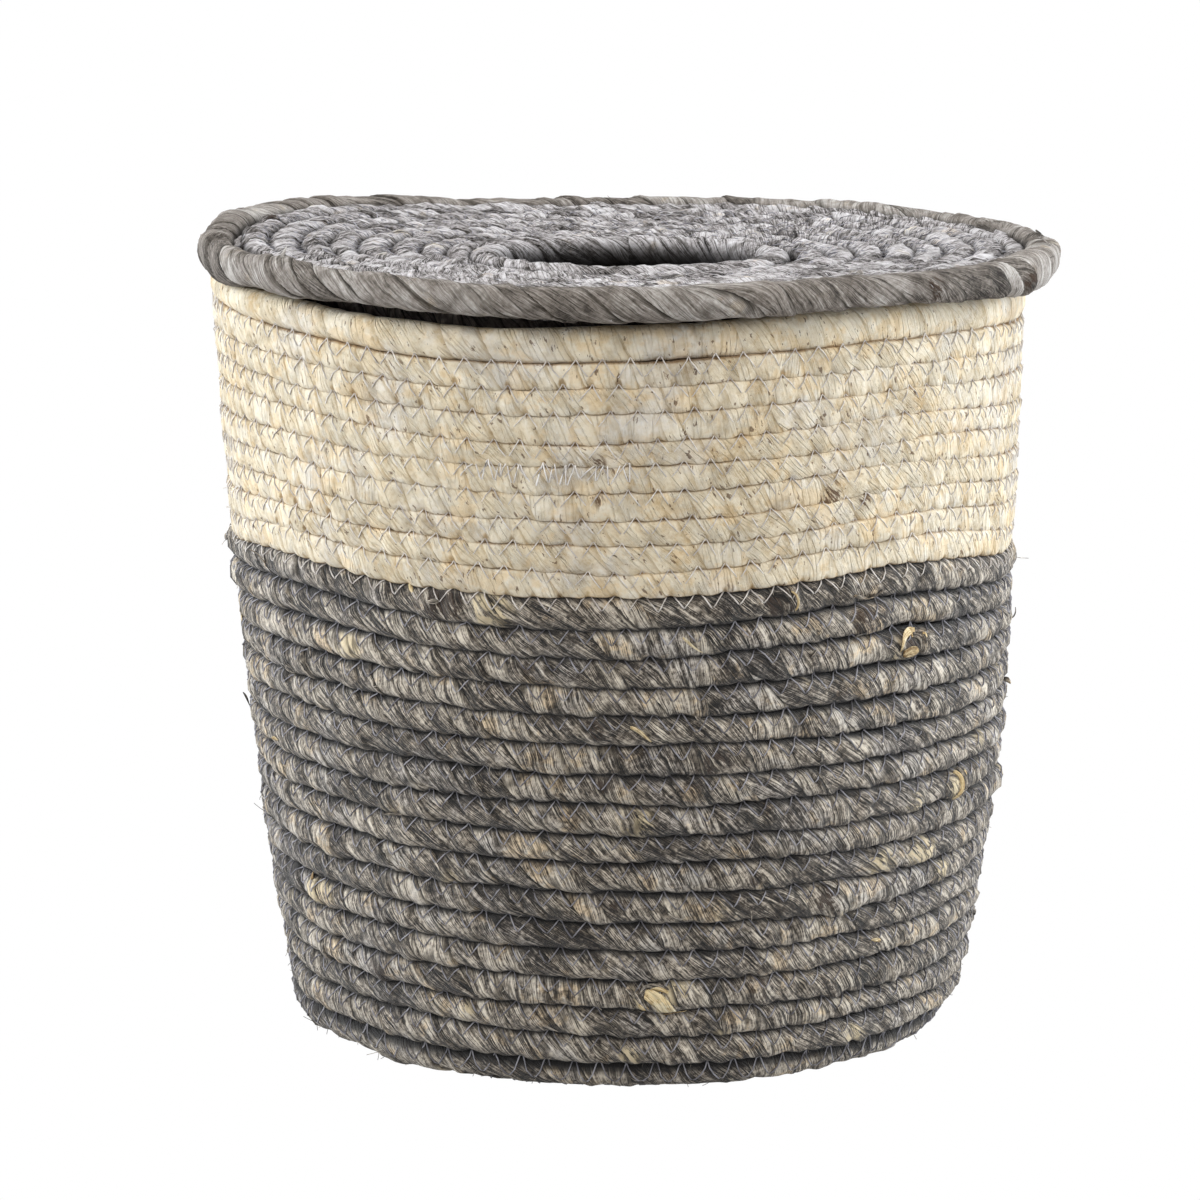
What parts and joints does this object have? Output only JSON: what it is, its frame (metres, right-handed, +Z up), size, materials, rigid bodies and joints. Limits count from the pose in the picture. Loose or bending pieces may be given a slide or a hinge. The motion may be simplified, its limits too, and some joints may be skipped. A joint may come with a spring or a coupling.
{
  "type": "wastepaper basket",
  "caption": "Round wastepaper basket coiled from leaf-wrapped rope, with a cream band at the top and a loose flat lid that has a round centre hole.",
  "frame": {"origin": "centre of the underside, on the basket's axis", "axes": "+Z up along the basket's axis, -Y towards the front, +X to the right seen from the front"},
  "size_m": [0.298, 0.298, 0.2738],
  "materials": {
    "grey_leaf": "dried leaf wrapped round a rope core and dyed grey, matt, streaked along the fibres",
    "cream_leaf": "undyed dried leaf wrapped round a rope core, matt with a faint sheen, small brown flecks",
    "lid_leaf": "dried leaf dyed grey, matt, paler on the fibres that stand up",
    "sewing_thread": "thin twisted pale grey thread, matt"
  },
  "bodies": {
    "basket": {"base_coil": "grey_leaf", "foot_coil": "grey_leaf", "lower_wall_coil": "grey_leaf", "middle_wall_coil": "grey_leaf", "lower_band_coil": "cream_leaf", "upper_band_coil": "cream_leaf", "rim_coil": "cream_leaf"},
    "lid": {"lid_coil": "lid_leaf", "lid_edge_ring": "lid_leaf", "lid_hole_ring": "lid_leaf", "lid_locating_ring": "lid_leaf"}
  },
  "joints": [
    {"name": "lid_lift", "type": "slide", "parent": "basket", "child": "lid", "axis": [0, 0, 1], "range_m": [0, 0.3]}
  ]
}
